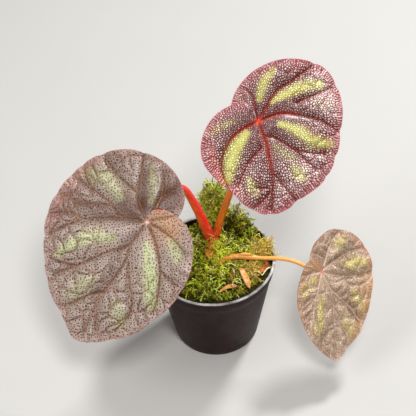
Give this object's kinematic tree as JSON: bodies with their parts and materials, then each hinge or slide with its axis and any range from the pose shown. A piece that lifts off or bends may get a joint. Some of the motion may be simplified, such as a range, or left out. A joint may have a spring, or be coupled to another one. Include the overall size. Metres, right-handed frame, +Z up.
{
  "type": "potted begonia",
  "caption": "Small rhizomatous begonia with broad puckered, lopsided heart-shaped leaves on red and amber leafstalks, growing in live moss in a round nursery pot.",
  "frame": {"origin": "centre of the pot's flat base, on the surface it stands on", "axes": "+Z up along the pot's axis; the front of the plant, which its blades face, is -Y, with the largest leaf towards -X and the small leaf towards +X"},
  "size_m": [0.1643, 0.099, 0.1415],
  "materials": {
    "pot_plastic": "matte dark brown-black moulded plastic",
    "medium": "damp crumbly potting mix",
    "moss": "live feathery moss, yellow-green",
    "rhizome": "fleshy, orange-red and brown, slightly glossy",
    "petiole_red": "fleshy, red to orange, glossy with small pale flecks",
    "petiole_orange": "fleshy, orange, glossy",
    "petiole_amber": "thin, amber, slightly glossy",
    "blade_mauve": "puckered blade, mauve-grey with dark maroon dots, brown veins and pale green patches",
    "blade_red": "puckered blade, silvery bumps on maroon, red veins and yellow-green patches",
    "blade_tan": "puckered blade, tan-mauve with brown margin and yellow-green patches",
    "dry_scale": "thin dry papery scale, tan to orange-brown"
  },
  "bodies": {
    "root": {"pot": "pot_plastic", "growing_medium": "medium", "moss": "moss", "rhizome": "rhizome", "petiole_left": "petiole_red", "petiole_top": "petiole_orange", "petiole_right": "petiole_amber", "leaf_left": "blade_mauve", "leaf_top": "blade_red", "leaf_right": "blade_tan", "dry_scale_front": "dry_scale", "dry_scale_thin": "dry_scale", "dry_scale_rim": "dry_scale"}
  },
  "joints": []
}
